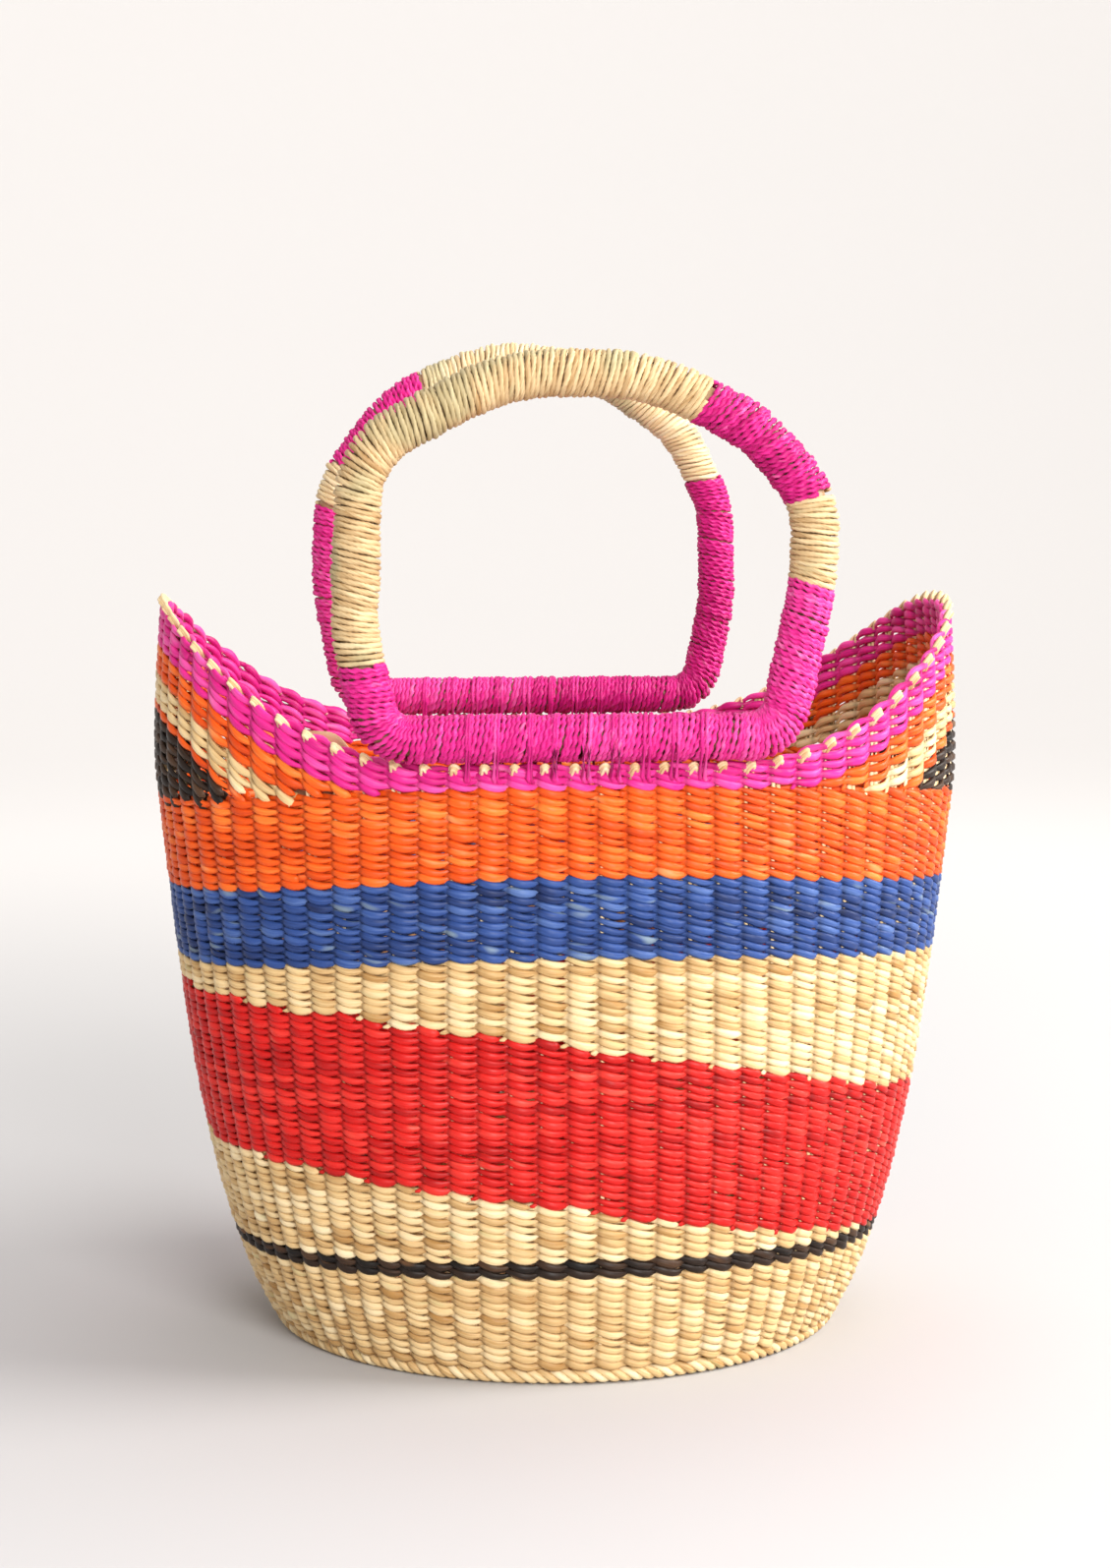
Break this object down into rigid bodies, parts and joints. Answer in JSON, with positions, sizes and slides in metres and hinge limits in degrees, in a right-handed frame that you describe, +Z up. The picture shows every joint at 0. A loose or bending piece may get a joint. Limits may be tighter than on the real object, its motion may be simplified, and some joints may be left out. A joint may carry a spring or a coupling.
{
  "type": "woven market basket",
  "caption": "Twined grass shopper with raised side wings, coloured bands and two hinged wrapped hoop handles lashed along the front and back rims.",
  "frame": {"origin": "on the floor under the middle of the base", "axes": "+Z up, +X towards the right-hand wing seen from the front, -Y towards the front wall"},
  "size_m": [0.3263, 0.2421, 0.4012],
  "materials": {
    "natural_grass": "satin dried grass",
    "orange_grass": "dyed grass",
    "pink_grass": "dyed grass",
    "blue_grass": "dyed grass",
    "red_grass": "dyed grass",
    "black_grass": "dyed grass",
    "cane": "bare cane",
    "tan_leather": "smooth"
  },
  "bodies": {
    "basket": {"back_lashings": "pink_grass", "base_weave": "natural_grass", "black_line_band": "black_grass", "blue_band": "blue_grass", "foot_border": "natural_grass", "front_lashings": "pink_grass", "inner_weft": "natural_grass", "leather_tab": "tan_leather", "lower_natural_band": "natural_grass", "lower_natural_wedges": "natural_grass", "orange_band": "orange_grass", "pink_rim_band": "pink_grass", "red_band": "red_grass", "rim_knots": "natural_grass", "upper_natural_wedges": "natural_grass", "warp_stakes": "natural_grass", "wing_dark_band": "black_grass", "wing_high_orange_band": "orange_grass", "wing_low_orange_band": "orange_grass", "wing_natural_band": "natural_grass"},
    "front_handle": {"front_handle_core": "cane", "front_wrap_leg_pink": "pink_grass", "front_wrap_lower_pink": "pink_grass", "front_wrap_natural": "natural_grass", "front_wrap_short_natural": "natural_grass", "front_wrap_upper_pink": "pink_grass"},
    "back_handle": {"back_handle_core": "cane", "back_wrap_leg_pink": "pink_grass", "back_wrap_lower_pink": "pink_grass", "back_wrap_natural": "natural_grass", "back_wrap_short_natural": "natural_grass", "back_wrap_upper_pink": "pink_grass"}
  },
  "joints": [
    {"name": "front_handle_swing", "type": "hinge", "parent": "basket", "child": "front_handle", "pos_m": [0, -0.1105, 0.2467], "axis": [1, 0, 0], "range_deg": [-40, 100]},
    {"name": "back_handle_swing", "type": "hinge", "parent": "basket", "child": "back_handle", "pos_m": [0, 0.1105, 0.2458], "axis": [-1, 0, 0], "range_deg": [-40, 100]}
  ]
}
